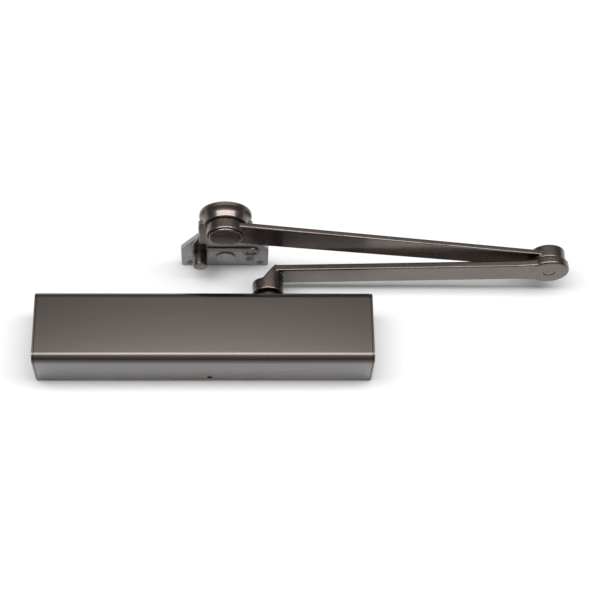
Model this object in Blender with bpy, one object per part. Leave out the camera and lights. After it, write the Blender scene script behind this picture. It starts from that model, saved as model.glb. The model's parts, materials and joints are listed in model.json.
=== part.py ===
"""Surface door closer with a parallel arm and a stop shoe.

The closer lies on its back: +X runs along the cover, +Y is up as installed (the
pinion's axis), and +Z comes out of the door's face. The origin is on the mounting
face at the middle of the cover. Sizes are in millimetres and become metres when a
mesh is made.
"""
import math

import bmesh
import bpy
from mathutils import Matrix, Vector

MM = 0.001
GAP = 0.3

# Cover and housing
COVER_LENGTH = 312.0
COVER_FRONT_HALF = 35.6
COVER_BACK_HALF = 34.5
COVER_BACK = 1.9
COVER_FRONT = 48.0
SHEET = 1.5
END_PLATE = 1.7
FRONT_RADIUS = 8.0
AXIS_Z = 25.5
HOUSING_RADIUS = 20.0
HOUSING_HALF = 138.0
BORE_RADIUS = 16.3
CROSS_BORE = 11.0
PLATE_HALF = 150.0
PLATE_WIDTH = 17.0
PLATE_THICK = 5.0
MOUNT_HOLES = (144.0, 9.5)
MOUNT_HOLE_RADIUS = 3.3
COVER_SCREW = (5.0, 8.0)
COVER_SCREW_RADIUS = 1.9

# Rack and pinion
PINION_X = 59.5
TEETH = 12
MODULE = 1.5
PRESSURE = math.radians(25.0)
ADDENDUM = 1.35
DEDENDUM = 1.7
TOOTH_HALF = math.pi * MODULE / 4 - 0.1
PITCH_RADIUS = TEETH * MODULE / 2
STROKE = math.pi * PITCH_RADIUS
GEAR_HALF = 12.0
JOURNAL = 7.0
SQUARE = 9.0
PISTON_RADIUS = BORE_RADIUS - GAP
SLOT_START = PINION_X - 11.5
SLOT_END = SLOT_START + STROKE + 23.2
PISTON_HEAD = 14.0
PISTON_START = SLOT_START - PISTON_HEAD
PISTON_END = SLOT_END + PISTON_HEAD

# Spring and its adjuster
SEAT_START = -122.0
SEAT_THICK = 4.0
SPRING_RADIUS = 12.4
WIRE_RADIUS = 2.1
SPRING_TURNS = 13
ADJUSTER_RADIUS = 4.0

# Main arm
HUB_BOTTOM = 42.9
HUB_TOP = 54.0
HUB_RADIUS = 14.4
BAR_BOTTOM = 61.6
BAR_TOP = 68.0
BAR_WIDTH = 26.0
ELBOW = (325.7, 36.2)
ELBOW_RADIUS = 19.1
ELBOW_TOP = 69.3
PIN_RADIUS = 5.5

# Forearm
FOREARM_BOTTOM = 73.1
FOREARM_TOP = 78.2
FOREARM_WIDTHS = (25.0, 32.0)
FOREARM_DROP = 2.0
UPPER_BOSS_RADIUS = 16.6
UPPER_BOSS = (69.6, 83.7)
SHOE_BOSS_RADIUS = 17.4
SHOE_BOSS = (69.7, 80.0)

# Shoe
SHOE = (19.4, 89.0)
CUP_RADIUS = 24.2
CUP_BOTTOM = 80.3
PLATE = (88.0, 93.0)
PLATE_LEFT = -22.9
PLATE_RIGHT = 60.2
PLATE_SQUARE = 31.4
CASTING_BOTTOM = 82.2
STOP_PIN = (-4.6, 28.0)
STOP_PIN_RADIUS = 6.8
STOP_PIN_END = 70.9
PIN_HOLE_RADIUS = 5.0
PIN_BOSS_RADIUS = 8.4
PIN_BOSS_FACE = 86.2
CROSSBAR = (30.1, 36.2)
LEG_OUTER = ((-4.9, 66), (-5.8, 62.7), (-7.3, 55.1), (-9.2, 51.2), (-11.2, 47.4), (-12.9, 42.6))
TAIL_OUTLINE = ((-1, CUP_RADIUS, 52), (1, CUP_RADIUS, 52), (1, CUP_RADIUS, 87), (1, 20.5, 91.5))
TAIL_OUTLINE += ((-1, 20.5, 91.5), (-1, CUP_RADIUS, 87))
LEG_FOOT = 28.0
LEG_INNER = 2.2
STEM_RADIUS = 6.5
CAP_RADIUS = 15.2
CAP_FACE = 67.5


def clear_scene():
    for obj in list(bpy.data.objects):
        bpy.data.objects.remove(obj, do_unlink=True)


def material(name, colour, roughness, metallic):
    mat = bpy.data.materials.new(name)
    mat.use_nodes = True
    shader = mat.node_tree.nodes["Principled BSDF"]
    shader.inputs["Base Color"].default_value = (*colour, 1.0)
    shader.inputs["Roughness"].default_value = roughness
    shader.inputs["Metallic"].default_value = metallic
    return mat


def place(axis, u, v, along):
    """Point from in-plane coordinates (u, v) and a distance along the named axis."""
    if axis == "X":
        return Vector((along, u, v))
    if axis == "Y":
        return Vector((u, along, v))
    return Vector((u, v, along))


def solid(bm):
    """Object from a closed mesh in millimetres, with its faces pointing out."""
    bmesh.ops.recalc_face_normals(bm, faces=bm.faces)
    bmesh.ops.scale(bm, vec=(MM, MM, MM), verts=bm.verts)
    mesh = bpy.data.meshes.new("solid")
    bm.to_mesh(mesh)
    bm.free()
    obj = bpy.data.objects.new("solid", mesh)
    bpy.context.collection.objects.link(obj)
    return obj


def loft(loops):
    """Solid through a row of outlines that have the same number of points."""
    bm = bmesh.new()
    rings = [[bm.verts.new(point) for point in loop] for loop in loops]
    count = len(rings[0])
    for lower, upper in zip(rings, rings[1:]):
        for i in range(count):
            j = (i + 1) % count
            bm.faces.new((lower[i], lower[j], upper[j], upper[i]))
    bm.faces.new(rings[0])
    bm.faces.new(rings[-1])
    return solid(bm)


def slab(axis, outline, span):
    """Outline in the plane across an axis, extruded over a span of that axis."""
    return loft([[place(axis, u, v, along) for u, v in outline] for along in span])


def block(low, high):
    outline = ((low[0], low[1]), (high[0], low[1]), (high[0], high[1]), (low[0], high[1]))
    return slab("Z", outline, (low[2], high[2]))


def turned(axis, centre, profile, segments=24):
    """Solid of revolution; the profile is (radius, distance along the axis) points.

    It runs from the axis to the axis, or all the way round a ring with a hole. Where it
    leaves the axis at a right angle, one flat face closes the end.
    """
    bm = bmesh.new()
    is_ring = profile[0][0] > 0
    flat_start = not is_ring and profile[0][1] == profile[1][1]
    flat_end = not is_ring and profile[-1][1] == profile[-2][1]
    points = profile[int(flat_start):len(profile) - int(flat_end)]
    rings = []
    for radius, along in points:
        angles = [2 * math.pi * i / segments for i in range(segments if radius > 0 else 1)]
        u, v = centre
        corners = [place(axis, u + radius * math.cos(a), v + radius * math.sin(a), along) for a in angles]
        rings.append([bm.verts.new(corner) for corner in corners])
    following = rings[1:] + rings[:1] if is_ring else rings[1:]
    for lower, upper in zip(rings, following):
        for i in range(segments):
            j = (i + 1) % segments
            corners = [lower[i % len(lower)], lower[j % len(lower)]]
            corners += [upper[j % len(upper)], upper[i % len(upper)]]
            bm.faces.new(list(dict.fromkeys(corners)))
    if flat_start:
        bm.faces.new(rings[0])
    if flat_end:
        bm.faces.new(rings[-1])
    return solid(bm)


def drum(axis, centre, radius, span, segments=24, chamfer=0.0):
    start, end = span
    profile = [(0, start), (radius - chamfer, start)]
    if chamfer:
        profile += [(radius, start + chamfer), (radius, end - chamfer)]
    profile += [(radius - chamfer, end), (0, end)]
    return turned(axis, centre, profile, segments)


def ring(axis, centre, inner, outer, span, segments=24):
    start, end = span
    return turned(axis, centre, [(inner, start), (outer, start), (outer, end), (inner, end)], segments)


def boolean(base, tools, operation):
    for tool in tools:
        modifier = base.modifiers.new(operation.title(), "BOOLEAN")
        modifier.operation = operation
        modifier.solver = "EXACT"
        modifier.object = tool
    graph = bpy.context.evaluated_depsgraph_get()
    mesh = bpy.data.meshes.new_from_object(base.evaluated_get(graph))
    base.modifiers.clear()
    base.data = mesh
    for tool in tools:
        bpy.data.objects.remove(tool, do_unlink=True)
    return base


def join(*pieces):
    return boolean(pieces[0], pieces[1:], "UNION")


def cut(base, *tools):
    return boolean(base, tools, "DIFFERENCE")


def finish(obj, name, mat, pivot=(0, 0, 0)):
    """Name the piece, give it its material and put its origin on its joint's axis."""
    pivot = Vector(pivot) * MM
    obj.data.transform(Matrix.Translation(-pivot))
    obj.location = pivot
    obj.name = name
    obj.data.name = name
    obj.data.materials.clear()
    obj.data.materials.append(mat)
    obj.data.shade_smooth()
    obj.data.set_sharp_from_angle(angle=math.radians(35))
    return obj


def arc(centre, radius, start, end, steps):
    """Points on a circle from one angle to another, in degrees."""
    angles = [math.radians(start + (end - start) * i / steps) for i in range(steps + 1)]
    return [(centre[0] + radius * math.cos(a), centre[1] + radius * math.sin(a)) for a in angles]


def rounded_section(width, low, high, radius, steps=2):
    """Rectangle with rounded corners: across the bar, then up it."""
    half = width / 2 - radius
    corners = (
        (half, high - radius, 0),
        (-half, high - radius, 90),
        (-half, low + radius, 180),
        (half, low + radius, 270),
    )
    points = []
    for across, up, turn in corners:
        points += arc((across, up), radius, turn, turn + 90, steps)
    return points


def bar(start, end, widths, low, high, radius):
    """Bar between two (X, Z) points, with a width at each end and rounded edges."""
    start = Vector(start)
    end = Vector(end)
    direction = (end - start).normalized()
    across = Vector((-direction.y, direction.x))
    loops = []
    for point, width in ((start, widths[0]), (end, widths[1])):
        section = rounded_section(width, low, high, radius)
        loops.append([place("Y", *(point + across * side), up) for side, up in section])
    return loft(loops)


def cover_outline(inset):
    """Front, top and bottom of the cover seen along its length, inset by a sheet's thickness.

    The two flanges close in a little towards the door.
    """
    half = COVER_FRONT_HALF - inset
    back = COVER_BACK_HALF - inset
    front = COVER_FRONT - inset
    radius = FRONT_RADIUS - inset
    points = [(-back, COVER_BACK)]
    points += arc((-half + radius, front - radius), radius, 180, 90, 7)
    points += arc((half - radius, front - radius), radius, 90, 0, 7)
    points.append((back, COVER_BACK))
    return points


def make_cover(mats):
    end_inner = COVER_LENGTH / 2 - END_PLATE
    shell_half = end_inner - GAP
    channel = cover_outline(0.0) + cover_outline(SHEET)[::-1]
    shell = slab("X", channel, (-shell_half, shell_half))
    slot_radius = 13.5
    slot = block((PINION_X - slot_radius, 30, -1), (PINION_X + slot_radius, 40, AXIS_Z))
    slot_end = drum("Y", (PINION_X, AXIS_Z), slot_radius, (30, 40))
    screw_hole = drum("Y", COVER_SCREW, COVER_SCREW_RADIUS + GAP, (-40, 40), 16)
    finish(cut(shell, slot, slot_end, screw_hole), "cover", mats["bronze"])
    for name, side in (("cover_end_left", -1), ("cover_end_right", 1)):
        plate = slab("X", cover_outline(0.0), (side * end_inner, side * COVER_LENGTH / 2))
        finish(plate, name, mats["bronze"])
    for name, side in (("cover_screw_bottom", -1), ("cover_screw_top", 1)):
        head = COVER_BACK_HALF - 0.2
        screw = drum("Y", COVER_SCREW, COVER_SCREW_RADIUS, (side * 23, side * head), 16)
        socket = drum("Y", COVER_SCREW, 1.0, (side * (head - 1.6), side * (head + 1)), 6)
        finish(cut(screw, socket), name, mats["steel"])


def valve_places():
    """Name and (Y, Z) place of each regulating screw in the right-hand end of the housing."""
    return (
        ("sweep_valve", (-22.5, 19.0)),
        ("latch_valve", (-22.5, 32.0)),
        ("backcheck_valve", (22.5, 25.5)),
    )


def make_mounting_plate(mats):
    """Flat plate between the housing and the door, with a screw hole near each corner."""
    plate = block((-PLATE_HALF, -PLATE_WIDTH, 0), (PLATE_HALF, PLATE_WIDTH, PLATE_THICK))
    lug_top = COVER_SCREW[1] + 3.5
    cover_lug = block((COVER_SCREW[0] - 8, -32.2, 0.3), (COVER_SCREW[0] + 8, 32.2, lug_top))
    step = block((-PLATE_HALF, -PLATE_WIDTH, PLATE_THICK), (PLATE_HALF, PLATE_WIDTH, lug_top + 1))
    tools = [step]
    for side_y in (-1, 1):
        tools.append(drum("Y", COVER_SCREW, COVER_SCREW_RADIUS + GAP, (side_y * 22, side_y * 40), 16))
    for side_x in (-1, 1):
        for side_y in (-1, 1):
            centre = (side_x * MOUNT_HOLES[0], side_y * MOUNT_HOLES[1])
            tools.append(drum("Z", centre, MOUNT_HOLE_RADIUS, (-1, PLATE_THICK + 1), 16))
    finish(cut(join(plate, cover_lug), *tools), "mounting_plate", mats["casting"])


def make_housing(mats):
    barrel = drum("X", (0, AXIS_Z), HOUSING_RADIUS, (-HOUSING_HALF, HOUSING_HALF), 36)
    seat = PLATE_THICK + GAP
    saddle = block((-HOUSING_HALF + 1, -PLATE_WIDTH + 1, seat), (HOUSING_HALF - 1, PLATE_WIDTH - 1, 14))
    boss = drum("Y", (PINION_X, AXIS_Z), 15.5, (-31, 31))
    neck = drum("Y", (PINION_X, AXIS_Z), 12.5, (20, 35.5))
    lower_rib = block((98, -27, 13), (HOUSING_HALF - 0.5, -12, 37))
    upper_rib = block((98, 12, 19.5), (HOUSING_HALF - 0.5, 27, 31.5))
    body = join(barrel, saddle, boss, neck, lower_rib, upper_rib)
    tools = [
        drum("X", (0, AXIS_Z), BORE_RADIUS, (-PLATE_HALF, PLATE_HALF), 36),
        drum("Y", (PINION_X, AXIS_Z), CROSS_BORE, (-40, 40)),
    ]
    for _, centre in valve_places():
        tools.append(drum("X", centre, 3.2, (114, HOUSING_HALF + 1), 16))
    finish(cut(body, *tools), "closer_body", mats["casting"])


def grooved(radius, start, end, grooves, depth, width):
    """Turned profile of a plunger with seal grooves that start at the given distances."""
    profile = [(0, start), (radius - 0.8, start), (radius, start + 0.8)]
    for groove in grooves:
        profile += [(radius, groove), (radius - depth, groove)]
        profile += [(radius - depth, groove + width), (radius, groove + width)]
    return profile + [(radius, end - 0.8), (radius - 0.8, end), (0, end)]


def make_end_caps(mats):
    centre = (0, AXIS_Z)
    radius = BORE_RADIUS - GAP
    ends = (("spring_end_cap", "spring_cap_o_ring", -1), ("plain_end_cap", "plain_cap_o_ring", 1))
    for name, seal_name, side in ends:
        inner_end = HOUSING_HALF - 12
        profile = grooved(radius, inner_end, HOUSING_HALF + 2, [130.0], 1.6, 2.4)
        plug = turned("X", centre, [(r, side * along) for r, along in profile])
        flange = drum("X", centre, 16.8, (side * (HOUSING_HALF + GAP), side * (HOUSING_HALF + 6)), 6)
        cap = join(plug, flange)
        if side < 0:
            thread = drum("X", centre, ADJUSTER_RADIUS + GAP, (-HOUSING_HALF - 8, -HOUSING_HALF + 14), 16)
            cap = cut(cap, thread)
        finish(cap, name, mats["steel"])
        seal = ring("X", centre, radius - 1.3, radius + 0.1, (side * 130.3, side * 132.1))
        finish(seal, seal_name, mats["rubber"])


def make_pinion_bearings(mats):
    centre = (PINION_X, AXIS_Z)
    outer = CROSS_BORE - GAP
    inner = JOURNAL + GAP
    finish(ring("Y", centre, inner, outer, (17, 26.7)), "upper_bearing", mats["brass"])
    finish(ring("Y", centre, inner, outer, (-26.7, -17)), "lower_bearing", mats["brass"])
    finish(ring("Y", centre, inner, outer, (27, 30)), "shaft_seal", mats["rubber"])
    finish(drum("Y", centre, outer, (-30.7, -27.3), chamfer=0.6), "lower_plug", mats["steel"])
    gland = [(inner, 30.3), (outer, 30.3), (outer, 35.8)]
    gland += [(12.5, 35.8), (12.5, 39.2), (11.2, 41.2), (inner, 41.9)]
    finish(turned("Y", centre, gland), "shaft_gland", mats["arm"])


def gear_outline():
    """Outline of the pinion's involute teeth, with one tooth pointing along +Z."""
    base = PITCH_RADIUS * math.cos(PRESSURE)
    root = PITCH_RADIUS - DEDENDUM
    tip = PITCH_RADIUS + ADDENDUM
    half_at_base = TOOTH_HALF / PITCH_RADIUS + math.tan(PRESSURE) - PRESSURE
    flank = [(root, half_at_base)]
    steps = 4
    for i in range(steps + 1):
        radius = base + (tip - base) * i / steps
        angle = math.acos(base / radius)
        flank.append((radius, half_at_base - math.tan(angle) + angle))
    points = []
    for tooth in range(TEETH):
        middle = math.pi / 2 + 2 * math.pi * tooth / TEETH
        tooth_points = [(radius, middle - half) for radius, half in flank]
        tooth_points += [(radius, middle + half) for radius, half in reversed(flank)]
        points += [(PINION_X + r * math.cos(a), AXIS_Z + r * math.sin(a)) for r, a in tooth_points]
    return points


def make_pinion(mats):
    centre = (PINION_X, AXIS_Z)
    gear = slab("Y", gear_outline(), (-GEAR_HALF, GEAR_HALF))
    shaft = drum("Y", centre, JOURNAL, (-26.9, 41.9), chamfer=0.8)
    half = SQUARE / 2
    low = (PINION_X - half, 41, AXIS_Z - half)
    high = (PINION_X + half, 52.5, AXIS_Z + half)
    pinion = join(gear, shaft, block(low, high))
    screw_hole = drum("Y", centre, 2.8, (44, 54), 16)
    finish(cut(pinion, screw_hole), "pinion", mats["steel"], (PINION_X, 0, AXIS_Z))


def rack_slot_outline():
    """Slot in the piston: flat below the pinion, with the rack's teeth above it."""
    root_z = AXIS_Z + PITCH_RADIUS + DEDENDUM
    tip_z = AXIS_Z + PITCH_RADIUS - ADDENDUM
    root_half = TOOTH_HALF + DEDENDUM * math.tan(PRESSURE)
    tip_half = TOOTH_HALF - ADDENDUM * math.tan(PRESSURE)
    pitch = math.pi * MODULE
    points = [(SLOT_START, AXIS_Z - 10.9), (SLOT_END, AXIS_Z - 10.9), (SLOT_END, root_z)]
    for number in range(7, -3, -1):
        middle = PINION_X + pitch * (number + 0.5)
        points += [(middle + root_half, root_z), (middle + tip_half, tip_z)]
        points += [(middle - tip_half, tip_z), (middle - root_half, root_z)]
    points.append((SLOT_START, root_z))
    return points


def make_piston(mats):
    centre = (0, AXIS_Z)
    places = (("piston_ring_left", PISTON_START + 4), ("piston_ring_right", PISTON_END - 6.4))
    grooves = [start for _, start in places]
    profile = grooved(PISTON_RADIUS, PISTON_START, PISTON_END, grooves, 1.8, 2.4)
    piston = turned("X", centre, profile, 36)
    tools = [slab("Y", rack_slot_outline(), (-20, 20))]
    tools.append(drum("X", centre, 3.3, (PISTON_END - 9, PISTON_END + 1), 16))
    tools.append(drum("X", centre, 1.6, (SLOT_END - 1, PISTON_END), 16))
    pivot = (PISTON_START, 0, AXIS_Z)
    finish(cut(piston, *tools), "piston", mats["steel"], pivot)
    for name, start in places:
        seal = ring("X", centre, PISTON_RADIUS - 1.5, PISTON_RADIUS + 0.1, (start + GAP, start + 2.1), 36)
        finish(seal, name, mats["rubber"], pivot)
    ball_radius = 2.7
    ball_x = PISTON_END - 5.5
    ball = [(0, ball_x - ball_radius)]
    for i in range(1, 8):
        angle = math.pi * i / 8
        ball.append((ball_radius * math.sin(angle), ball_x - ball_radius * math.cos(angle)))
    ball.append((0, ball_x + ball_radius))
    finish(turned("X", centre, ball, 16), "check_ball", mats["steel"], pivot)
    plug = ring("X", centre, 1.2, 3.0, (PISTON_END - 2.4, PISTON_END - 0.4), 16)
    finish(plug, "check_ball_retainer", mats["brass"], pivot)


def make_spring(mats):
    start = SEAT_START + SEAT_THICK + GAP + WIRE_RADIUS
    end = PISTON_START - GAP - WIRE_RADIUS
    steps = SPRING_TURNS * 12
    sides = 6
    loops = []
    for step in range(steps + 1):
        share = step / steps
        turn = 2 * math.pi * SPRING_TURNS * share
        outward = Vector((0, math.cos(turn), math.sin(turn)))
        centre = Vector((start + (end - start) * share, 0, AXIS_Z)) + outward * SPRING_RADIUS
        loop = []
        for side in range(sides):
            angle = 2 * math.pi * side / sides
            round_wire = outward * math.cos(angle) + Vector((math.sin(angle), 0, 0))
            loop.append(centre + round_wire * WIRE_RADIUS)
        loops.append(loop)
    finish(loft(loops), "return_spring", mats["spring"], (SEAT_START, 0, AXIS_Z))


def make_adjuster(mats):
    centre = (0, AXIS_Z)
    hole = ADJUSTER_RADIUS + GAP
    seat_end = SEAT_START + SEAT_THICK
    profile = [(hole, SEAT_START), (PISTON_RADIUS - 0.2, SEAT_START), (PISTON_RADIUS - 0.2, seat_end)]
    profile += [(9.0, seat_end), (8.4, seat_end + 6), (hole, seat_end + 6)]
    finish(turned("X", centre, profile), "spring_seat", mats["steel"], (SEAT_START, 0, AXIS_Z))
    screw = drum("X", centre, ADJUSTER_RADIUS, (-152, -106), 24, chamfer=0.7)
    socket = drum("X", centre, 2.3, (-153, -147), 6)
    finish(cut(screw, socket), "spring_adjuster", mats["steel"], (-152, 0, AXIS_Z))


def make_valves(mats):
    for name, centre in valve_places():
        screw = turned("X", centre, [(0, 115), (1.0, 117), (2.9, 122), (2.9, 140.6), (0, 140.6)], 16)
        slot = block((139.4, centre[0] - 4, centre[1] - 0.5), (142, centre[0] + 4, centre[1] + 0.5))
        finish(cut(screw, slot), name, mats["brass"], (140.6, *centre))


def make_main_arm(mats):
    hub_centre = (PINION_X, AXIS_Z)
    pivot = (PINION_X, 0, AXIS_Z)
    hub = [(0, HUB_BOTTOM), (HUB_RADIUS - 0.8, HUB_BOTTOM), (HUB_RADIUS, HUB_BOTTOM + 0.8)]
    hub += [(HUB_RADIUS + 0.9, BAR_BOTTOM), (HUB_RADIUS + 0.9, BAR_TOP - 0.4), (0, BAR_TOP - 0.4)]
    blade = bar(hub_centre, ELBOW, (BAR_WIDTH, BAR_WIDTH), BAR_BOTTOM, BAR_TOP, 1.2)
    foot = BAR_BOTTOM - 0.3
    profile = [(0, foot), (ELBOW_RADIUS - 1.9, foot), (ELBOW_RADIUS - 0.6, foot + 0.6)]
    profile += [(ELBOW_RADIUS, foot + 1.9), (ELBOW_RADIUS, ELBOW_TOP - 1.2)]
    profile += [(ELBOW_RADIUS - 1.2, ELBOW_TOP), (0, ELBOW_TOP)]
    boss = turned("Y", ELBOW, profile, 40)
    arm = join(turned("Y", hub_centre, hub, 40), blade, boss)
    slope = ((30, HUB_TOP), (55, HUB_TOP), (66.7, BAR_TOP), (66.7, 72), (30, 72))
    half = SQUARE / 2 + GAP
    low = (PINION_X - half, 40, AXIS_Z - half)
    high = (PINION_X + half, 60, AXIS_Z + half)
    arm = cut(
        arm,
        slab("Z", slope, (0, 60)),
        block(low, high),
        drum("Y", hub_centre, 8.3, (HUB_TOP, 72)),
        drum("Y", ELBOW, PIN_RADIUS + GAP, (50, 80), 24),
    )
    finish(arm, "main_arm", mats["arm"], pivot)
    finish(ring("Y", hub_centre, 2.9, 8.0, (HUB_TOP + GAP, 55.5)), "arm_washer", mats["steel"], pivot)
    shank = drum("Y", hub_centre, 2.5, (44.5, 56.5), 16)
    head = drum("Y", hub_centre, 6.0, (55.8, 60.0), 6)
    finish(join(head, shank), "arm_screw", mats["steel"], pivot)


def make_elbow(mats):
    main_pivot = (PINION_X, 0, AXIS_Z)
    elbow_pivot = (ELBOW[0], 0, ELBOW[1])
    rivet = [(0, 61.7), (4.7, 61.7), (PIN_RADIUS, 62.5), (PIN_RADIUS, 84.0)]
    rivet += [(8.5, 84.0), (8.5, 85.5), (7.6, 86.3), (0, 86.3)]
    finish(turned("Y", ELBOW, rivet), "elbow_pin", mats["arm"], main_pivot)
    inner = PIN_RADIUS + GAP
    finish(ring("Y", ELBOW, inner, 9.0, (69.6, 71.0)), "elbow_washer", mats["brass"], elbow_pivot)
    finish(ring("Y", ELBOW, inner, 7.8, (71.3, 83.5)), "elbow_bushing", mats["brass"], elbow_pivot)


def make_forearm(mats):
    bar_end = (SHOE[0], SHOE[1] - FOREARM_DROP)
    blade = bar(ELBOW, bar_end, FOREARM_WIDTHS, FOREARM_BOTTOM, FOREARM_TOP, 1.0)
    low, high = UPPER_BOSS
    radius = UPPER_BOSS_RADIUS
    dome = [(0, low), (radius - 1.2, low), (radius, low + 1.2)]
    dome += [(radius, high - 1.2), (radius - 1.2, high), (0, high)]
    elbow_boss = turned("Y", ELBOW, dome, 40)
    low, high = SHOE_BOSS
    shoe_boss = drum("Y", SHOE, SHOE_BOSS_RADIUS, (low, high), 40, chamfer=1.0)
    forearm = cut(
        join(blade, elbow_boss, shoe_boss),
        drum("Y", ELBOW, 9.3, (60, 71.3)),
        drum("Y", ELBOW, 8.1, (60, 90)),
        drum("Y", SHOE, CAP_RADIUS + 0.6, (60, 72.5), 40),
        drum("Y", SHOE, 9.3, (60, 90)),
    )
    finish(forearm, "forearm", mats["arm"], (ELBOW[0], 0, ELBOW[1]))


def plate_outline():
    """Soffit plate seen along Y: square end on the left and right, chamfers, then a round seat."""
    nose_half = 25.2
    chamfer_top = 56.0
    seat_radius = CUP_RADIUS + GAP
    points = [(PLATE_LEFT + 1.5, 0), (PLATE_RIGHT - 1.5, 0)]
    points += [(PLATE_RIGHT, 1.5), (PLATE_RIGHT, PLATE_SQUARE)]
    points.append((SHOE[0] + nose_half, chamfer_top))
    points.append((SHOE[0] + nose_half, SHOE[1] - 12))
    points += arc(SHOE, seat_radius, -32, -148, 12)
    points.append((SHOE[0] - nose_half, SHOE[1] - 12))
    points.append((SHOE[0] - nose_half, chamfer_top))
    points += [(PLATE_LEFT, PLATE_SQUARE), (PLATE_LEFT, 1.5)]
    return points


def shoe_screw_places():
    """(X, Z) of the soffit screw holes, a pair near the middle and a pair at the edge."""
    return [(SHOE[0] + side * reach, z) for reach, z in ((23.4, 13.0), (33.4, 5.8)) for side in (-1, 1)]


def make_shoe(mats):
    pivot = (SHOE[0], 0, SHOE[1])
    low, high = PLATE
    plate = slab("Y", plate_outline(), (low, high))
    tools = []
    for number, centre in enumerate(shoe_screw_places()):
        hole = 3.0 if number < 2 else 2.2
        flare = hole + 1.8
        profile = [(0, low - 1), (flare + 1, low - 1), (flare, low)]
        profile += [(hole, low + 2), (hole, high + 1), (0, high + 1)]
        tools.append(turned("Y", centre, profile, 16))
    other_pin = (2 * SHOE[0] - STOP_PIN[0], STOP_PIN[1])
    for centre in (STOP_PIN, other_pin):
        tools.append(drum("Y", centre, PIN_HOLE_RADIUS, (low - 1, high + 1), 24))
    finish(cut(plate, *tools), "shoe_plate", mats["plate"], pivot)

    cup = [(0, high), (CUP_RADIUS - 0.8, high), (CUP_RADIUS, high - 0.8), (CUP_RADIUS, 89.6)]
    cup += [(CUP_RADIUS - 0.8, 88.6), (CUP_RADIUS - 2.2, 87.2), (CUP_RADIUS - 3.2, 85.4)]
    cup += [(CUP_RADIUS - 3.8, 83.2), (CUP_RADIUS - 4.4, CUP_BOTTOM), (0, CUP_BOTTOM)]
    roof = low - GAP
    boss_span = (PIN_BOSS_FACE, roof - 0.2)
    bosses = [drum("Y", centre, PIN_BOSS_RADIUS, boss_span) for centre in (STOP_PIN, other_pin)]
    wing = [(side * reach + SHOE[0], z) for side, reach, z in TAIL_OUTLINE]
    tail = slab("Y", wing, (CASTING_BOTTOM, roof))
    leg_outline = LEG_OUTER + ((-13.2, 37.7), (-13.1, LEG_FOOT), (LEG_INNER, LEG_FOOT), (LEG_INNER, 66))
    leg = slab("Y", leg_outline, (CASTING_BOTTOM + 3.0, roof - 0.1))
    low_z, high_z = CROSSBAR
    crossbar = block((STOP_PIN[0], PIN_BOSS_FACE + 0.1, low_z), (other_pin[0], roof - 0.3, high_z))
    housing = cut(
        join(turned("Y", SHOE, cup, 48), tail, leg, crossbar, *bosses),
        ring("Y", SHOE, 10.5, 17.2, (70, 85.0)),
        drum("Y", SHOE, STEM_RADIUS + GAP, (70, 91.0), 24),
        drum("Y", other_pin, PIN_HOLE_RADIUS, (80, 90), 24),
        drum("Y", STOP_PIN, PIN_HOLE_RADIUS, (80, 90), 24),
        drum("Y", STOP_PIN, STOP_PIN_RADIUS + GAP, (80, PIN_BOSS_FACE)),
    )
    finish(housing, "cup_housing", mats["arm"], pivot)
    finish(ring("Y", SHOE, 10.8, 16.9, (80.6, 84.7)), "cushion_ring", mats["rubber"], pivot)

    stem = [(0, CAP_FACE), (CAP_RADIUS - 1.8, CAP_FACE), (CAP_RADIUS - 0.6, CAP_FACE + 0.6)]
    stem += [(CAP_RADIUS, CAP_FACE + 2.0)]
    stem += [(CAP_RADIUS, 72.2), (STEM_RADIUS, 72.2), (STEM_RADIUS, 90.5), (0, 90.5)]
    finish(turned("Y", SHOE, stem, 40), "pivot_screw", mats["arm"], pivot)

    pin = [(0, STOP_PIN_END), (STOP_PIN_RADIUS - 1, STOP_PIN_END), (STOP_PIN_RADIUS, STOP_PIN_END + 1)]
    pin += [(STOP_PIN_RADIUS, PIN_BOSS_FACE - GAP), (4.7, PIN_BOSS_FACE - GAP), (4.7, 91.0), (0, 91.0)]
    finish(turned("Y", STOP_PIN, pin), "stop_pin", mats["arm"], pivot)
    disc = drum("Y", (SHOE[0], 17.6), 8.8, (86.2, low - GAP), chamfer=0.3)
    finish(disc, "centre_rivet", mats["plate"], pivot)
    bushing = ring("Y", SHOE, STEM_RADIUS + GAP, 9.0, (72.8, 79.7))
    finish(bushing, "shoe_bushing", mats["brass"], (ELBOW[0], 0, ELBOW[1]))


def main():
    clear_scene()
    mats = {
        "bronze": material("dark_bronze_cover", (0.127, 0.109, 0.098), 0.38, 0.75),
        "arm": material("dark_bronze_arm", (0.075, 0.064, 0.055), 0.34, 0.8),
        "plate": material("grey_plate", (0.19, 0.19, 0.2), 0.5, 0.8),
        "casting": material("painted_casting", (0.06, 0.055, 0.05), 0.6, 0.2),
        "steel": material("steel", (0.45, 0.44, 0.42), 0.35, 1.0),
        "spring": material("spring_steel", (0.16, 0.16, 0.17), 0.4, 1.0),
        "brass": material("bearing_bronze", (0.5, 0.34, 0.13), 0.4, 1.0),
        "rubber": material("seal_rubber", (0.02, 0.02, 0.02), 0.8, 0.0),
    }
    make_cover(mats)
    make_mounting_plate(mats)
    make_housing(mats)
    make_end_caps(mats)
    make_pinion_bearings(mats)
    make_pinion(mats)
    make_piston(mats)
    make_spring(mats)
    make_adjuster(mats)
    make_valves(mats)
    make_main_arm(mats)
    make_elbow(mats)
    make_forearm(mats)
    make_shoe(mats)


main()
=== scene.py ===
"""Looks of the surface door closer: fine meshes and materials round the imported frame."""
import json
import math

import bmesh
import bpy
from mathutils import Matrix, Vector


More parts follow.
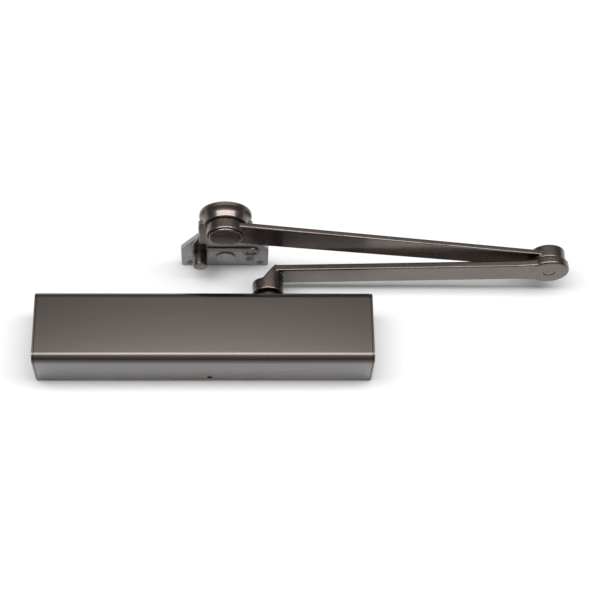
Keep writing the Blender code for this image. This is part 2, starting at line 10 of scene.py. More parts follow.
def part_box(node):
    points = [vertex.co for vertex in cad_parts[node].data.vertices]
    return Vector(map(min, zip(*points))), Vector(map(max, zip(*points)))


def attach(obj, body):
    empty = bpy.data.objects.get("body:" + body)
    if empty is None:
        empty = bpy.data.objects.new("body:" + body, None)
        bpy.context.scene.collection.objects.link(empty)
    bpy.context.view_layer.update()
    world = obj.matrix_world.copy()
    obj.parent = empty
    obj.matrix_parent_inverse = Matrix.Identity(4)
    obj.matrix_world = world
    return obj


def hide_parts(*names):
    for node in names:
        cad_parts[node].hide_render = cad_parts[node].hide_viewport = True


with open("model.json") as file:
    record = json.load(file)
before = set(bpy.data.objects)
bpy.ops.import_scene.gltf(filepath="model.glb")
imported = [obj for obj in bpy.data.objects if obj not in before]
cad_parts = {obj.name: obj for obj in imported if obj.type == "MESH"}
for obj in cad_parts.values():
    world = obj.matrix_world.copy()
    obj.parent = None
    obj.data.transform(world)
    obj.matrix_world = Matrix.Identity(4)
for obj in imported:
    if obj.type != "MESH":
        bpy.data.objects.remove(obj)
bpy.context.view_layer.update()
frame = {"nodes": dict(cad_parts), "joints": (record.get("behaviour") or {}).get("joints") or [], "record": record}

MM = 0.001
NODES = frame["nodes"]
JOINTS = {joint["name"]: joint for joint in frame["joints"]}
PINION = Vector(JOINTS["pinion_turn"]["pos_m"]) / MM
ELBOW = Vector(JOINTS["elbow_pivot"]["pos_m"]) / MM
SHOE = Vector(JOINTS["shoe_pivot"]["pos_m"]) / MM

# Lengths in millimetres and angles in degrees
COVER_TAPER = 1.1
COVER_RADIUS = 8.0
SHEET = 1.5
COVER_SCREW_RADIUS = 1.9
BAR_EDGE = 0.9
PIN_HOLE_RADIUS = 5.0
SHARP_ANGLE = 32

# Sky strengths, the strip light in metres and watts, and the camera's turns in degrees
FLOOR_COLOUR = (0.66, 0.66, 0.66)
HORIZON = 0.17
ZENITH = 0.78
STRIP_PLACE = (0.1, 0.06, 1.3)
STRIP_SIZE = (2.4, 0.48)
STRIP_WATTS = 31
CAMERA_TILT = 27.2
CAMERA_PAN = 2.42
CAMERA_ROLL = -0.1
CAMERA_LENS = 97.3
CAMERA_PLACE = (0.0897, 0.0446, 1.5277)


def extent(node):
    """Lowest and highest corner of a CAD node in millimetres."""
    low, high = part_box(node)
    return low / MM, high / MM


# Shapes -----------------------------------------------------------------------------

def place(axis, u, v, along):
    """Point at u, v across an axis and some way along it."""
    if axis == "X":
        return Vector((along, u, v))
    if axis == "Y":
        return Vector((u, along, v))
    return Vector((u, v, along))


def solid(bm):
    """Object in metres from a closed mesh in millimetres."""
    bmesh.ops.recalc_face_normals(bm, faces=bm.faces)
    bmesh.ops.scale(bm, vec=(MM, MM, MM), verts=bm.verts)
    mesh = bpy.data.meshes.new("shape")
    bm.to_mesh(mesh)
    bm.free()
    obj = bpy.data.objects.new("shape", mesh)
    bpy.context.scene.collection.objects.link(obj)
    return obj


def loft(loops):
    """Closed solid through loops that all have the same number of points."""
    bm = bmesh.new()
    rings = [[bm.verts.new(point) for point in loop] for loop in loops]
    count = len(rings[0])
    for lower, upper in zip(rings, rings[1:]):
        for i in range(count):
            j = (i + 1) % count
            bm.faces.new((lower[i], lower[j], upper[j], upper[i]))
    bm.faces.new(rings[0])
    bm.faces.new(rings[-1])
    return solid(bm)


def slab(axis, outline, span):
    """Outline pushed along an axis from the start to the end of span."""
    return loft([[place(axis, u, v, along) for u, v in outline] for along in span])


def block(low, high):
    outline = ((low[0], low[1]), (high[0], low[1]), (high[0], high[1]), (low[0], high[1]))
    return slab("Z", outline, (low[2], high[2]))


def turned(axis, centre, profile, segments=96):
    """Solid of revolution from (radius, distance along the axis) points."""
    bm = bmesh.new()
    is_ring = profile[0][0] > 0
    flat_start = not is_ring and profile[0][1] == profile[1][1]
    flat_end = not is_ring and profile[-1][1] == profile[-2][1]
    points = profile[int(flat_start):len(profile) - int(flat_end)]
    rings = []
    for radius, along in points:
        angles = [2 * math.pi * i / segments for i in range(segments if radius > 0 else 1)]
        across = [centre[0] + radius * math.cos(a) for a in angles]
        up = [centre[1] + radius * math.sin(a) for a in angles]
        rings.append([bm.verts.new(place(axis, u, v, along)) for u, v in zip(across, up)])
    following = rings[1:] + rings[:1] if is_ring else rings[1:]
    for lower, upper in zip(rings, following):
        for i in range(segments):
            j = (i + 1) % segments
            corners = [lower[i % len(lower)], lower[j % len(lower)]]
            corners += [upper[j % len(upper)], upper[i % len(upper)]]
            bm.faces.new(list(dict.fromkeys(corners)))
    if flat_start:
        bm.faces.new(rings[0])
    if flat_end:
        bm.faces.new(rings[-1])
    return solid(bm)


def softened(points, radii, steps=5):
    """Open profile with an arc of the given radius in place of each inner corner."""
    result = [points[0]]
    for before, corner, after, radius in zip(points, points[1:], points[2:], radii):
        corner = Vector(corner)
        to_before = (Vector(before) - corner).normalized()
        to_after = (Vector(after) - corner).normalized()
        if radius == 0:
            result.append(tuple(corner))
            continue
        half_angle = to_before.angle(to_after) / 2
        centre = corner + (to_before + to_after).normalized() * (radius / math.sin(half_angle))
        start = corner + to_before * (radius / math.tan(half_angle)) - centre
        end = corner + to_after * (radius / math.tan(half_angle)) - centre
        turn = start.angle_signed(end)
        for i in range(steps + 1):
            angle = -turn * i / steps
            x = start.x * math.cos(angle) - start.y * math.sin(angle)
            y = start.x * math.sin(angle) + start.y * math.cos(angle)
            result.append((centre.x + x, centre.y + y))
    result.append(points[-1])
    return result


def rounded_turning(axis, centre, profile, radii, segments=96, steps=5):
    return turned(axis, centre, softened(profile, radii, steps), segments)


def drum(axis, centre, radius, span, segments=64):
    start, end = span
    return turned(axis, centre, [(0, start), (radius, start), (radius, end), (0, end)], segments)


def baked(obj):
    """Replace an object's mesh with what its modifiers make of it."""
    graph = bpy.context.evaluated_depsgraph_get()
    mesh = bpy.data.meshes.new_from_object(obj.evaluated_get(graph))
    obj.modifiers.clear()
    obj.data = mesh
    return obj


def boolean(base, tools, operation):
    for tool in tools:
        modifier = base.modifiers.new(operation.title(), "BOOLEAN")
        modifier.operation = operation
        modifier.solver = "EXACT"
        modifier.object = tool
    baked(base)
    for tool in tools:
        bpy.data.objects.remove(tool, do_unlink=True)
    return base


def join(*pieces):
    return boolean(pieces[0], pieces[1:], "UNION")


def cut(base, *tools):
    return boolean(base, tools, "DIFFERENCE")


def forged(base, voxel=0.6, rounds=8):
    """Round every edge and inner corner of a solid, as a forging has them."""
    fuse = base.modifiers.new("Fuse", "REMESH")
    fuse.mode = "VOXEL"
    fuse.voxel_size = voxel * MM
    fuse.use_smooth_shade = True
    relax = base.modifiers.new("Relax", "SMOOTH")
    relax.factor = 0.5
    relax.iterations = rounds
    return baked(base)


def bevelled(obj, width, segments=3, angle=30):
    """Rounded edges on a clean solid, with flat faces kept flat."""
    bevel = obj.modifiers.new("Edges", "BEVEL")
    bevel.width = width * MM
    bevel.segments = segments
    bevel.limit_method = "ANGLE"
    bevel.angle_limit = math.radians(angle)
    bevel.use_clamp_overlap = True
    return baked(obj)


def arc(centre, radius, start, end, steps):
    """Points on a circle from the start angle to the end angle in degrees."""
    angles = [math.radians(start + (end - start) * i / steps) for i in range(steps + 1)]
    return [(centre[0] + radius * math.cos(a), centre[1] + radius * math.sin(a)) for a in angles]


def section(width, low, high, radius, steps=6):
    """Rectangle with rounded corners, centred across and from low to high."""
    half = width / 2 - radius
    corners = (
        (half, high - radius, 0),
        (-half, high - radius, 90),
        (-half, low + radius, 180),
        (half, low + radius, 270),
    )
    points = []
    for across, up, turn in corners:
        points += arc((across, up), radius, turn, turn + 90, steps)
    return points


def level_bar(stations, low, high, radius):
    """Bar along +X from (distance, width, sideways shift) stations, thick from low to high along Y."""
    loops = []
    for distance, width, shift in stations:
        outline = section(width, low, high, radius)
        loops.append([Vector((distance, up, side + shift)) for side, up in outline])
    return loft(loops)


def lay(obj, start, end):
    """Turn a piece built along +X from the origin so that it runs from start to end."""
    run = end - start
    turn = Matrix.Rotation(-math.atan2(run.z, run.x), 4, "Y")
    shift = Matrix.Translation(Vector((start.x, 0, start.z)) * MM)
    obj.data.transform(shift @ turn)
    return obj


# Materials --------------------------------------------------------------------------

def linear(*values):
    """Linear colour from 8-bit sRGB values."""
    scaled = [value / 255 for value in values]
    return tuple(v / 12.92 if v <= 0.04045 else ((v + 0.055) / 1.055) ** 2.4 for v in scaled)


class Finish:
    """A Principled material with helpers to wire its noise, bump and a painted highlight along its edges."""

    def __init__(self, name, colour, roughness, metallic):
        self.material = bpy.data.materials.new(name)
        self.material.use_nodes = True
        self.tree = self.material.node_tree
        self.shader = self.tree.nodes["Principled BSDF"]
        self.shader.inputs["Base Color"].default_value = (*colour, 1)
        self.shader.inputs["Roughness"].default_value = roughness
        self.shader.inputs["Metallic"].default_value = metallic
        self.colour = colour
        self.coordinates = self.tree.nodes.new("ShaderNodeTexCoord").outputs["Object"]

    def link(self, source, target):
        self.tree.links.new(source, target)

    def noise(self, scale, stretch=(1, 1, 1), detail=4.0, roughness=0.6):
        mapping = self.tree.nodes.new("ShaderNodeMapping")
        mapping.inputs["Scale"].default_value = stretch
        self.link(self.coordinates, mapping.inputs["Vector"])
        texture = self.tree.nodes.new("ShaderNodeTexNoise")
        texture.inputs["Scale"].default_value = scale
        texture.inputs["Detail"].default_value = detail
        texture.inputs["Roughness"].default_value = roughness
        self.link(mapping.outputs["Vector"], texture.inputs["Vector"])
        return texture.outputs["Fac"]

    def spread(self, source, low, high, start=0.3, end=0.7):
        """Map a 0 to 1 value from start..end onto low..high."""
        node = self.tree.nodes.new("ShaderNodeMapRange")
        node.inputs["From Min"].default_value = start
        node.inputs["From Max"].default_value = end
        node.inputs["To Min"].default_value = low
        node.inputs["To Max"].default_value = high
        self.link(source, node.inputs["Value"])
        return node.outputs["Result"]

    def blend(self, factor, first, second):
        """Colour from first to second, each a colour or a socket."""
        node = self.tree.nodes.new("ShaderNodeMix")
        node.data_type = "RGBA"
        self.link(factor, node.inputs["Factor"])
        for name, value in (("A", first), ("B", second)):
            socket = [s for s in node.inputs if s.name == name and s.type == "RGBA"][0]
            if isinstance(value, tuple):
                socket.default_value = (*value, 1)
            else:
                self.link(value, socket)
        return [s for s in node.outputs if s.type == "RGBA"][0]

    def edges(self, width):
        """1 on outer edges and 0 on flat faces, from how far a rounded normal turns."""
        bevel = self.tree.nodes.new("ShaderNodeBevel")
        bevel.samples = 4
        bevel.inputs["Radius"].default_value = width * MM
        geometry = self.tree.nodes.new("ShaderNodeNewGeometry")
        dot = self.tree.nodes.new("ShaderNodeVectorMath")
        dot.operation = "DOT_PRODUCT"
        self.link(bevel.outputs["Normal"], dot.inputs[0])
        self.link(geometry.outputs["Normal"], dot.inputs[1])
        return self.spread(dot.outputs["Value"], 1.0, 0.0, 0.82, 0.99)

    def bump(self, height, strength, distance):
        node = self.tree.nodes.new("ShaderNodeBump")
        node.inputs["Strength"].default_value = strength
        node.inputs["Distance"].default_value = distance * MM
        self.link(height, node.inputs["Height"])
        self.link(node.outputs["Normal"], self.shader.inputs["Normal"])

    def coat(self, weight, roughness):
        """Clear lacquer over the metal."""
        self.shader.inputs["Coat Weight"].default_value = weight
        self.shader.inputs["Coat Roughness"].default_value = roughness

    def set(self, name, source):
        self.link(source, self.shader.inputs[name])


def scaled(colour, factor):
    """Colour made lighter or darker, kept at or below 1."""
    return tuple(min(1.0, c * factor) for c in colour)


def brushed_bronze():
    """Anodised sheet with fine lines along the cover."""
    base = (0.066, 0.053, 0.045)
    finish = Finish("brushed_bronze", base, 0.34, 1.0)
    finish.coat(1.0, 0.25)
    lines = finish.noise(1.0, (14, 2600, 2600), 3.0)
    patches = finish.noise(9.0, (0.6, 1, 1), 2.0)
    lined = finish.blend(finish.spread(lines, 0, 1), scaled(base, 0.95), scaled(base, 1.05))
    lighter = scaled(base, 1.12)
    finish.set("Base Color", finish.blend(finish.spread(patches, 0, 0.3), lined, lighter))
    finish.set("Roughness", finish.spread(lines, 0.31, 0.38))
    finish.bump(lines, 0.06, 0.03)
    return finish.material


def forged_bronze():
    """Satin dark bronze on the forged arms and the shoe casting, with a painted highlight along its edges."""
    base = (0.090, 0.072, 0.063)
    finish = Finish("forged_bronze", base, 0.28, 1.0)
    finish.coat(0.5, 0.14)
    grain = finish.noise(900.0, detail=5.0)
    streaks = finish.noise(1.0, (700, 60, 700), 3.0)
    patches = finish.noise(45.0, detail=3.0)
    toned = finish.blend(finish.spread(patches, 0, 1), scaled(base, 0.85), scaled(base, 1.15))
    streaked = finish.blend(finish.spread(streaks, 0, 0.5), toned, scaled(base, 1.5))
    # Painted highlight: the rounded edges blend towards four times the base colour.
    finish.set("Base Color", finish.blend(finish.edges(0.9), streaked, scaled(base, 4.0)))
    finish.set("Roughness", finish.spread(grain, 0.24, 0.36))
    finish.bump(grain, 0.12, 0.06)
    return finish.material


def mottled_plate():
    """Bare grey plate with a coarse mottled skin."""
    base = linear(156, 155, 159)
    finish = Finish("mottled_plate", base, 0.5, 0.75)
    mottle = finish.noise(620.0, detail=6.0, roughness=0.75)
    patches = finish.noise(60.0, detail=3.0)
    toned = finish.blend(finish.spread(mottle, 0, 1), scaled(base, 0.72), scaled(base, 1.3))
    darker = scaled(base, 0.85)
    finish.set("Base Color", finish.blend(finish.spread(patches, 0, 0.4), toned, darker))
    finish.set("Roughness", finish.spread(mottle, 0.6, 0.4))
    finish.bump(mottle, 0.35, 0.12)
    return finish.material


def painted_casting():
    """Dark paint over a sand-cast skin, on the housing and its mounting plate."""
    base = linear(58, 55, 53)
    finish = Finish("painted_casting", base, 0.55, 0.1)
    sand = finish.noise(420.0, detail=8.0, roughness=0.7)
    patches = finish.noise(30.0)
    toned = finish.blend(finish.spread(patches, 0, 1), scaled(base, 0.8), scaled(base, 1.2))
    finish.set("Base Color", toned)
    finish.set("Roughness", finish.spread(sand, 0.45, 0.65))
    finish.bump(sand, 0.5, 0.25)
    return finish.material


def machined(name, colour, roughness, scale):
    """Bare metal with fine tool marks."""
    finish = Finish(name, colour, roughness, 1.0)
    marks = finish.noise(scale, (1, 6, 1), 4.0)
    darker, lighter = scaled(colour, 0.88), scaled(colour, 1.1)
    finish.set("Base Color", finish.blend(finish.spread(marks, 0, 1), darker, lighter))
    finish.set("Roughness", finish.spread(marks, roughness - 0.06, roughness + 0.08))
    finish.bump(marks, 0.12, 0.05)
    return finish.material


def seal_rubber():
    """Dull black rubber with a fine grain."""
    base = linear(24, 24, 25)
    finish = Finish("seal_rubber", base, 0.75, 0.0)
    grain = finish.noise(1500.0)
    finish.set("Base Color", finish.blend(finish.spread(grain, 0, 1), base, scaled(base, 1.6)))
    finish.set("Roughness", finish.spread(grain, 0.65, 0.85))
    finish.bump(grain, 0.2, 0.05)
    return finish.material


def make_finishes():
    """One finish for each material slot of the record."""
    return {
        "bronze_cover": brushed_bronze(),
        "bronze_arm": forged_bronze(),
        "grey_plate": mottled_plate(),
        "housing_casting": painted_casting(),
        "steel": machined("machined_steel", linear(178, 176, 172), 0.32, 700.0),
        "spring_steel": machined("drawn_spring_wire", linear(110, 110, 114), 0.36, 1100.0),
        "bearing_bronze": machined("bearing_bronze", linear(190, 158, 104), 0.34, 800.0),
        "seal_rubber": seal_rubber(),
    }


# Pieces -----------------------------------------------------------------------------

def piece(obj, name, body, finishes, slot, *nodes):
    """Name a finished piece, give it its look and tie it to its CAD body."""
    obj.name = name
    obj.data.name = name
    obj.data.materials.clear()
    obj.data.materials.append(finishes[slot])
    obj.data.shade_smooth()
    obj.data.set_sharp_from_angle(angle=math.radians(SHARP_ANGLE))
    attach(obj, body)
    if nodes:
        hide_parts(*nodes)
    return obj


def middle(node):
    """Centre of a CAD node as seen along the pinion's axis."""
    low, high = extent(node)
    return ((low.x + high.x) / 2, (low.z + high.z) / 2)


def hexagon(centre, radius):
    return arc(centre, radius, 0, 300, 5)


def cover_outline(low, high, inset, steps=16):
    """Front, top and bottom of the cover across its length, closing in towards the door."""
    half = high.y - inset
    back = half - COVER_TAPER
    front = high.z - inset
    radius = COVER_RADIUS - inset
    points = [(-back, low.z)]
    points += arc((-half + radius, front - radius), radius, 180, 90, steps)
    points += arc((half - radius, front - radius), radius, 90, 0, steps)
    points.append((back, low.z))
    return points


def make_cover(finishes):
    """Sheet channel with a slot for the shaft, its two screws and its two end plates."""
    low, high = extent("cover")
    channel = cover_outline(low, high, 0) + cover_outline(low, high, SHEET)[::-1]
    shell = slab("X", channel, (low.x, high.x))
    slot_radius = 13.5
    slot_low, slot_high = 30, 40
    slot = block(
        (PINION.x - slot_radius, slot_low, -1),
        (PINION.x + slot_radius, slot_high, PINION.z),
    )
    slot_end = drum("Y", (PINION.x, PINION.z), slot_radius, (slot_low, slot_high))
    screw = middle("cover_screw_bottom")
    screw_holes = drum("Y", screw, COVER_SCREW_RADIUS + 0.3, (-40, 40), 32)
    shell = bevelled(cut(shell, slot, slot_end, screw_holes), 0.25, 2, 40)
    piece(shell, "cover_shell", "closer", finishes, "bronze_cover", "cover")
    for side, name in ((-1, "bottom"), (1, "top")):
        fixing = cover_fixing(screw, side, high.y)
        node = "cover_screw_" + name
        piece(fixing, "cover_fixing_" + name, "closer", finishes, "steel", node)
    for side in ("left", "right"):
        node = "cover_end_" + side
        end_low, end_high = extent(node)
        outline = cover_outline(low, high, 0.15)
        plate = bevelled(slab("X", outline, (end_low.x, end_high.x)), 0.35, 3, 40)
        name = "cover_end_plate_" + side
        piece(plate, name, "closer", finishes, "bronze_cover", node)


def cover_fixing(centre, side, cover_half):
    """Socket screw that ends just under the cover's top or bottom face."""
    start, end = side * 23, side * (cover_half - 2.6)
    radius = COVER_SCREW_RADIUS
    shank = [(0, start), (radius, start), (radius, end), (0, end)]
    screw = rounded_turning("Y", centre, shank if side > 0 else shank[::-1], [0.3, 0.3], 32)
    socket_radius, socket_depth, above = 1.35, 1.8, 1
    span = sorted((end - side * socket_depth, end + side * above))
    return cut(screw, slab("Y", hexagon(centre, socket_radius), span))


def make_main_arm(finishes):
    """Hub with a sloped neck, level bar and elbow boss in one forging."""
    low, high = extent("main_arm")
    reach = (ELBOW - PINION).length
    bottom, top = 61.6, 68.0
    width = 26.0
    hub_foot, hub_radius, hub_top = 14.4, 15.3, 54
    boss_low = bottom - 0.3
    boss_radius = 19.1
    above, side = 72, 30
    hub = [(0, low.y), (hub_foot, low.y), (hub_radius, bottom), (hub_radius, top), (0, top)]
    stations = [(0, width, 0), (reach - 30, width, 0), (reach - 14, 29, 0), (reach, 30, 0)]
    bar = level_bar(stations, bottom, top, BAR_EDGE)
    boss = [(0, boss_low), (boss_radius, boss_low), (boss_radius, high.y), (0, high.y)]
    boss = rounded_turning("Y", (reach, 0), boss, [1.9, 0.8])
    arm = join(turned("Y", (0, 0), hub), bar, boss)
    neck = [(-side, hub_top), (-4.5, hub_top), (7.2, top + 0.2), (7.2, above), (-side, above)]
    arm = cut(arm, slab("Z", neck, (-side, side)))
    arm = forged(arm, 0.5, 5)
    washer_seat = drum("Y", (0, 0), 8.3, (hub_top - 0.2, above))
    shaft_bore = drum("Y", (0, 0), 7.1, (30, 55))
    elbow_bore = drum("Y", (reach, 0), 5.8, (50, 80))
    arm = lay(cut(arm, washer_seat, shaft_bore, elbow_bore), PINION, ELBOW)
    piece(arm, "main_arm_forging", "arm_shaft", finishes, "bronze_arm", "main_arm")


def make_forearm(finishes):
    """Bar that widens from the elbow's domed boss to the shoe's boss."""
    reach = (SHOE - ELBOW).length
    low, high = extent("forearm")
    width_at_elbow, width_at_shoe, drop = 25.0, 32.0, 1.97
    stations = [(0, width_at_elbow, 0), (reach, width_at_shoe, drop)]
    bar = level_bar(stations, 73.1, 78.2, BAR_EDGE)
    radius = 16.6
    boss = [(0, low.y), (radius - 1.2, low.y), (radius, low.y + 1.2)]
    boss += [(radius, high.y - 1.4), (radius - 2.0, high.y), (0, high.y)]
    elbow_boss = turned("Y", (0, 0), boss)
    shoe_boss = drum("Y", (reach, 0), 17.4, (69.7, 80.0))
    arm = forged(join(bar, elbow_boss, shoe_boss), 0.5, 5)
    below, above = 60, 90
    elbow_washer = drum("Y", (0, 0), 9.3, (below, 71.3))
    elbow_bush = drum("Y", (0, 0), 8.1, (below, above))
    cap_seat = drum("Y", (reach, 0), 15.8, (below, 72.5))
    shoe_bush = drum("Y", (reach, 0), 9.3, (below, above))
    arm = lay(cut(arm, elbow_washer, elbow_bush, cap_seat, shoe_bush), ELBOW, SHOE)
    piece(arm, "forearm_forging", "forearm_group", finishes, "bronze_arm", "forearm")


def make_elbow(finishes):
    """The rivet through both arms."""
    low, high = extent("elbow_pin")
    shank, head, shoulder = 5.5, 8.5, 84.0
    pin = [(0, low.y), (shank, low.y), (shank, shoulder)]
    pin += [(head, shoulder), (head, high.y), (0, high.y)]
    rivet = rounded_turning("Y", (ELBOW.x, ELBOW.z), pin, [0.7, 0, 0.2, 0.9])
    piece(rivet, "elbow_rivet", "arm_shaft", finishes, "bronze_arm", "elbow_pin")


def make_shaft_end(finishes):
    """The gland under the main arm's hub and the screw that holds the hub."""
    centre = (PINION.x, PINION.z)
    low, high = extent("shaft_gland")
    inner, neck, crown = 7.3, 10.7, 11.0
    outer = (high.x - low.x) / 2
    step, shoulder = 35.8, 39.4
    gland = [(inner, low.y), (neck, low.y), (neck, step), (outer, step), (outer, shoulder)]
    gland += [(crown, high.y), (inner, high.y)]
    collar = rounded_turning("Y", centre, gland, [0, 0, 0.3, 0.8, 1.2])
    piece(collar, "shaft_collar", "closer", finishes, "bronze_arm", "shaft_gland")
    low, high = extent("arm_screw")
    shank_radius, shank_end, head_radius, head_start = 2.5, 56.5, 5.95, 55.8
    head = bevelled(slab("Y", hexagon(centre, head_radius), (head_start, high.y)), 0.45)
    shank = [(0, low.y), (shank_radius, low.y), (shank_radius, shank_end), (0, shank_end)]
    shank = rounded_turning("Y", centre, shank, [0.5, 0])
    piece(join(head, shank), "arm_cap_screw", "arm_shaft", finishes, "steel", "arm_screw")


def make_shoe(finishes):
    """Cup casting with its tail, leg and crossbar."""
    centre = (SHOE.x, SHOE.z)
    low, high = extent("cup_housing")
    pin = middle("stop_pin")
    spare = (2 * SHOE.x - pin[0], pin[1])
    rim = 24.2
    cup = [(0, high.y), (rim, high.y), (rim, 91.6), (rim - 0.5, 91.3), (rim, 91.0)]
    cup += [(rim, 89.6), (rim - 0.8, 88.7), (rim - 1.6, 87.9), (rim - 2.3, 87.0)]
    cup += [(rim - 2.8, 86.1), (rim - 3.2, 85.2), (rim - 3.5, 84.2), (rim - 3.8, 83.0)]
    cup += [(rim - 4.1, 81.7), (rim - 4.4, low.y), (0, low.y)]
    radii = [0.8, 0.35, 0.2, 0.35, 0.5] + [0.0] * 8 + [0.6]
    cup_side = rounded_turning("Y", centre, cup, radii, 128)
    tail_start = 52
    wing = [(-rim, tail_start), (rim, tail_start), (rim, 87)]
    wing += [(20.5, 91.5), (-20.5, 91.5), (-rim, 87)]
    tail = slab("Y", [(SHOE.x + u, v) for u, v in wing], (82.2, 87.7))
    leg = [(-4.9, 66), (-5.8, 62.7), (-7.3, 55.1), (-9.2, 51.2), (-11.2, 47.4), (-12.9, 42.6)]
    leg += [(-13.2, 37.7), (-13.1, 28), (2.2, 28), (2.2, 66)]
    leg = slab("Y", leg, (85.2, 87.6))
    crossbar = block((pin[0], 86.3, 30.1), (spare[0], 87.4, 36.2))
    boss_face = 86.2
    bosses = [drum("Y", spot, 8.4, (boss_face, 87.5)) for spot in (pin, spare)]
    casting = forged(join(tail, leg, crossbar, *bosses), 0.4, 2)
    below = 70
    cushion_room = [(10.5, below), (17.2, below), (17.2, 85), (10.5, 85)]
    casting = cut(
        join(cup_side, casting),
        turned("Y", centre, cushion_room),
        drum("Y", centre, 6.8, (below, 91)),
        drum("Y", pin, PIN_HOLE_RADIUS, (80, 90)),
        drum("Y", spare, PIN_HOLE_RADIUS, (80, 90)),
        drum("Y", pin, 7.1, (80, boss_face)),
    )
    piece(casting, "shoe_casting", "shoe", finishes, "bronze_arm", "cup_housing")
    make_shoe_pins(finishes, centre, pin)
    make_soffit_plate(finishes, centre, pin, spare)


def make_shoe_pins(finishes, centre, pin):
    """Pivot cap, stop pin and the rivet in the middle of the plate."""
    low, high = extent("pivot_screw")
    radius = (high.x - low.x) / 2
    stem, cap_top = 6.5, 72.2
    cap = [(0, low.y), (radius, low.y), (radius, cap_top)]
    cap += [(stem, cap_top), (stem, high.y), (0, high.y)]
    cap = rounded_turning("Y", centre, cap, [1.5, 0.3, 0, 0.4], 128)
    piece(cap, "pivot_cap", "shoe", finishes, "bronze_arm", "pivot_screw")
    low, high = extent("stop_pin")
    radius = (high.x - low.x) / 2
    tenon, shoulder = 4.7, 85.9
    stop = [(0, low.y), (radius, low.y), (radius, shoulder)]
    stop += [(tenon, shoulder), (tenon, high.y), (0, high.y)]
    stop = rounded_turning("Y", pin, stop, [0.9, 0.3, 0, 0.4])
    piece(stop, "stop_post", "shoe", finishes, "bronze_arm", "stop_pin")
    low, high = extent("centre_rivet")
    radius = (high.x - low.x) / 2
    rivet = [(0, low.y), (radius, low.y), (radius, high.y), (0, high.y)]
    head = rounded_turning("Y", middle("centre_rivet"), rivet, [0.45, 0.1])
    piece(head, "plate_rivet", "shoe", finishes, "grey_plate", "centre_rivet")


def make_soffit_plate(finishes, centre, pin, spare):
    """Plate with a square foot, chamfers up to a round seat, and flared screw holes."""
    low, high = extent("shoe_plate")
    corner, foot = 1.5, 31.4
    nose, nose_start = 25.2, 56
    nose_end = SHOE.z - 12
    outline = [(low.x + corner, 0), (high.x - corner, 0), (high.x, corner), (high.x, foot)]
    outline += [(SHOE.x + nose, nose_start), (SHOE.x + nose, nose_end)]
    outline += arc(centre, 24.5, -32, -148, 48)
    outline += [(SHOE.x - nose, nose_end), (SHOE.x - nose, nose_start)]
    outline += [(low.x, foot), (low.x, corner)]
    plate = bevelled(slab("Y", outline, (low.y, high.y)), 0.5, 3, 25)
    below, above = low.y - 1, 95
    tools = []
    for reach, z, hole in ((23.4, 13.0, 3.0), (33.4, 5.8, 2.2)):
        flare = hole + 1.8
        profile = [(0, below), (flare + 1, below), (flare, low.y)]
        profile += [(hole, low.y + 2), (hole, above), (0, above)]
        for side in (-1, 1):
            tools.append(turned("Y", (SHOE.x + side * reach, z), profile, 48))
    tools += [drum("Y", spot, PIN_HOLE_RADIUS, (80, above)) for spot in (pin, spare)]
    piece(cut(plate, *tools), "soffit_plate", "shoe", finishes, "grey_plate", "shoe_plate")


def dress_cad(finishes):
    """Give every CAD node that still shows its procedural finish."""
    slots = {entry["node"]: entry["material_slot"] for entry in frame["record"]["subparts"]}
    for name, obj in NODES.items():
        for slot in obj.material_slots:
            slot.material = finishes[slots[name]]


# Stage ------------------------------------------------------------------------------

def make_stage():
    """Matt pale floor, 12 m square, at the height of the closer's back face."""
    bm = bmesh.new()
    bmesh.ops.create_grid(bm, x_segments=1, y_segments=1, size=6.0)
    mesh = bpy.data.meshes.new("floor")
    bm.to_mesh(mesh)
    bm.free()
    floor = bpy.data.objects.new("floor", mesh)
    bpy.context.scene.collection.objects.link(floor)
    mat = bpy.data.materials.new("floor")
    mat.use_nodes = True
    shader = mat.node_tree.nodes["Principled BSDF"]
    shader.inputs["Base Color"].default_value = (*FLOOR_COLOUR, 1)
    shader.inputs["Roughness"].default_value = 0.9
    shader.inputs["Specular IOR Level"].default_value = 0.0
    mesh.materials.append(mat)


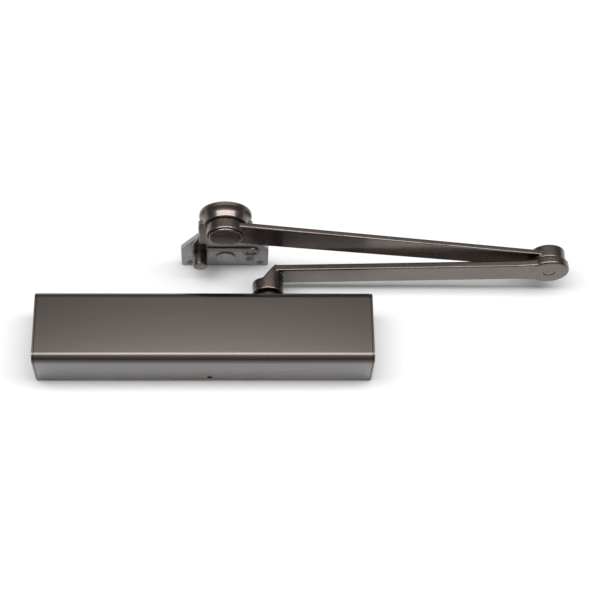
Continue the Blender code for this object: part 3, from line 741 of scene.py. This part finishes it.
def area_light(name, location, target, size, power):
    data = bpy.data.lights.new(name, "AREA")
    data.shape = "RECTANGLE"
    data.size, data.size_y = size
    data.energy = power
    light = bpy.data.objects.new(name, data)
    light.location = location
    aim = Vector(target) - Vector(location)
    light.rotation_euler = aim.to_track_quat("-Z", "Y").to_euler()
    bpy.context.scene.collection.objects.link(light)


def make_lights():
    """A sky that is bright overhead and dim at the horizon, and one long strip above the closer."""
    world = bpy.data.worlds.new("studio")
    world.use_nodes = True
    tree = world.node_tree
    background = tree.nodes["Background"]
    background.inputs["Color"].default_value = (1, 1, 1, 1)
    direction = tree.nodes.new("ShaderNodeTexCoord").outputs["Generated"]
    parts = tree.nodes.new("ShaderNodeSeparateXYZ")
    square = tree.nodes.new("ShaderNodeMath")
    square.operation = "MULTIPLY"
    strength = tree.nodes.new("ShaderNodeMapRange")
    strength.inputs["To Min"].default_value = HORIZON
    strength.inputs["To Max"].default_value = ZENITH
    tree.links.new(direction, parts.inputs[0])
    tree.links.new(parts.outputs["Z"], square.inputs[0])
    tree.links.new(parts.outputs["Z"], square.inputs[1])
    tree.links.new(square.outputs["Value"], strength.inputs["Value"])
    tree.links.new(strength.outputs["Result"], background.inputs["Strength"])
    bpy.context.scene.world = world
    area_light("overhead", STRIP_PLACE, (*STRIP_PLACE[:2], 0.0), STRIP_SIZE, STRIP_WATTS)
    bpy.context.scene.view_settings.view_transform = "Standard"


def make_camera():
    """Camera above the closer's front, tilted towards its lower side."""
    tilt = Matrix.Rotation(math.radians(CAMERA_TILT), 3, "X")
    pan = Matrix.Rotation(-math.radians(CAMERA_PAN), 3, "Y")
    roll = Matrix.Rotation(-math.radians(CAMERA_ROLL), 3, "Z")
    turn = tilt @ pan @ roll
    data = bpy.data.cameras.new("camera")
    data.sensor_width = 36.0
    data.lens = CAMERA_LENS
    data.clip_start = 0.05
    camera = bpy.data.objects.new("camera", data)
    camera.location = turn @ Vector(CAMERA_PLACE)
    camera.rotation_euler = turn.to_euler()
    bpy.context.scene.collection.objects.link(camera)
    bpy.context.scene.camera = camera


def main():
    make_camera()
    make_stage()
    make_lights()
    finishes = make_finishes()
    dress_cad(finishes)
    make_cover(finishes)
    make_main_arm(finishes)
    make_forearm(finishes)
    make_elbow(finishes)
    make_shaft_end(finishes)
    make_shoe(finishes)


main()
